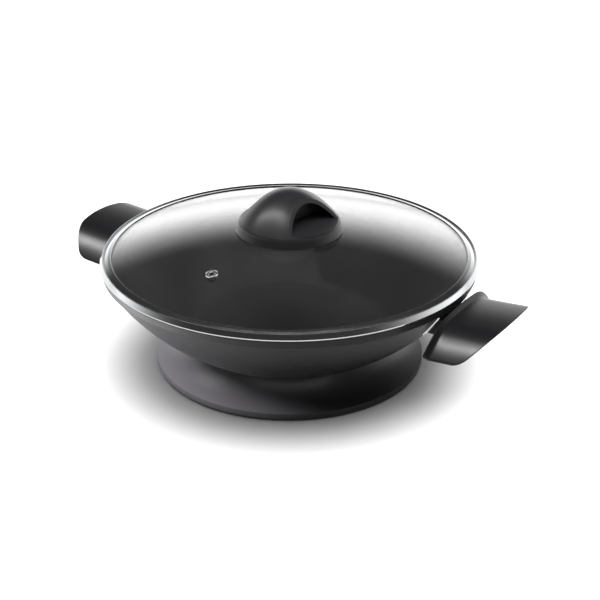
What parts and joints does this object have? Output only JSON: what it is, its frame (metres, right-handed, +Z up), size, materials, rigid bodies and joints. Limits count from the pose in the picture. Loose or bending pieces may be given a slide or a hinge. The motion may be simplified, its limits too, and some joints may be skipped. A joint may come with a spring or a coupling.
{
  "type": "electric wok",
  "caption": "Electric wok: a round nonstick bowl on a flared foot, two arched side handles, and a lift-off glass lid in a steel band with a domed knob.",
  "frame": {"origin": "on the table under the bowl's centre, at the bottom of the rubber feet", "axes": "+Z up, the two handles along X, the probe inlet at the back, towards +Y"},
  "size_m": [0.4654, 0.3532, 0.1715],
  "materials": {
    "nonstick_aluminium": "satin nonstick coating over cast aluminium",
    "foot_plastic": "fine satin moulding",
    "handle_plastic": "satin heat-proof moulding",
    "black_plastic": "matt heat-proof moulding",
    "rubber": "matt",
    "silicone": "matt silicone",
    "seal_silicone": "smooth glossy black silicone",
    "plate_aluminium": "plain cast aluminium",
    "steel": "plain zinc-plated or stainless steel",
    "polished_steel": "polished stainless steel",
    "element_steel": "dull oxidised tube",
    "sleeve_aluminium": "plain drawn tube",
    "ceramic": "unglazed ceramic",
    "brass": "bright",
    "nickel": "nickel-plated pin",
    "glass": "clear tempered glass"
  },
  "bodies": {
    "wok": {"wok_bowl": "nonstick_aluminium", "heat_plate": "plate_aluminium", "heating_element": "element_steel", "probe_sleeve": "sleeve_aluminium", "base_spacers": "ceramic", "heat_shield": "steel", "base_skirt": "foot_plastic", "base_screws": "steel", "bottom_cover": "black_plastic", "cover_screws": "steel", "rubber_feet": "rubber", "inlet_shroud": "black_plastic", "terminal_pins": "nickel", "pin_insulators": "ceramic", "earth_contacts": "brass", "inlet_screws": "steel", "handle_right": "handle_plastic", "handle_left": "handle_plastic", "guard_right": "polished_steel", "guard_left": "polished_steel", "handle_washers": "steel", "handle_screws": "steel"},
    "lid": {"lid_glass": "glass", "lid_rim_band": "polished_steel", "lid_seal": "seal_silicone", "vent_grommet": "polished_steel", "knob_dome": "handle_plastic", "knob_collar": "handle_plastic", "knob_insert": "brass", "knob_gasket": "silicone", "lower_gasket": "silicone", "knob_washer": "steel", "knob_screw": "steel"}
  },
  "joints": [
    {"name": "lid_lift", "type": "slide", "parent": "wok", "child": "lid", "axis": [0, 0, 1], "range_m": [0, 0.15]}
  ]
}
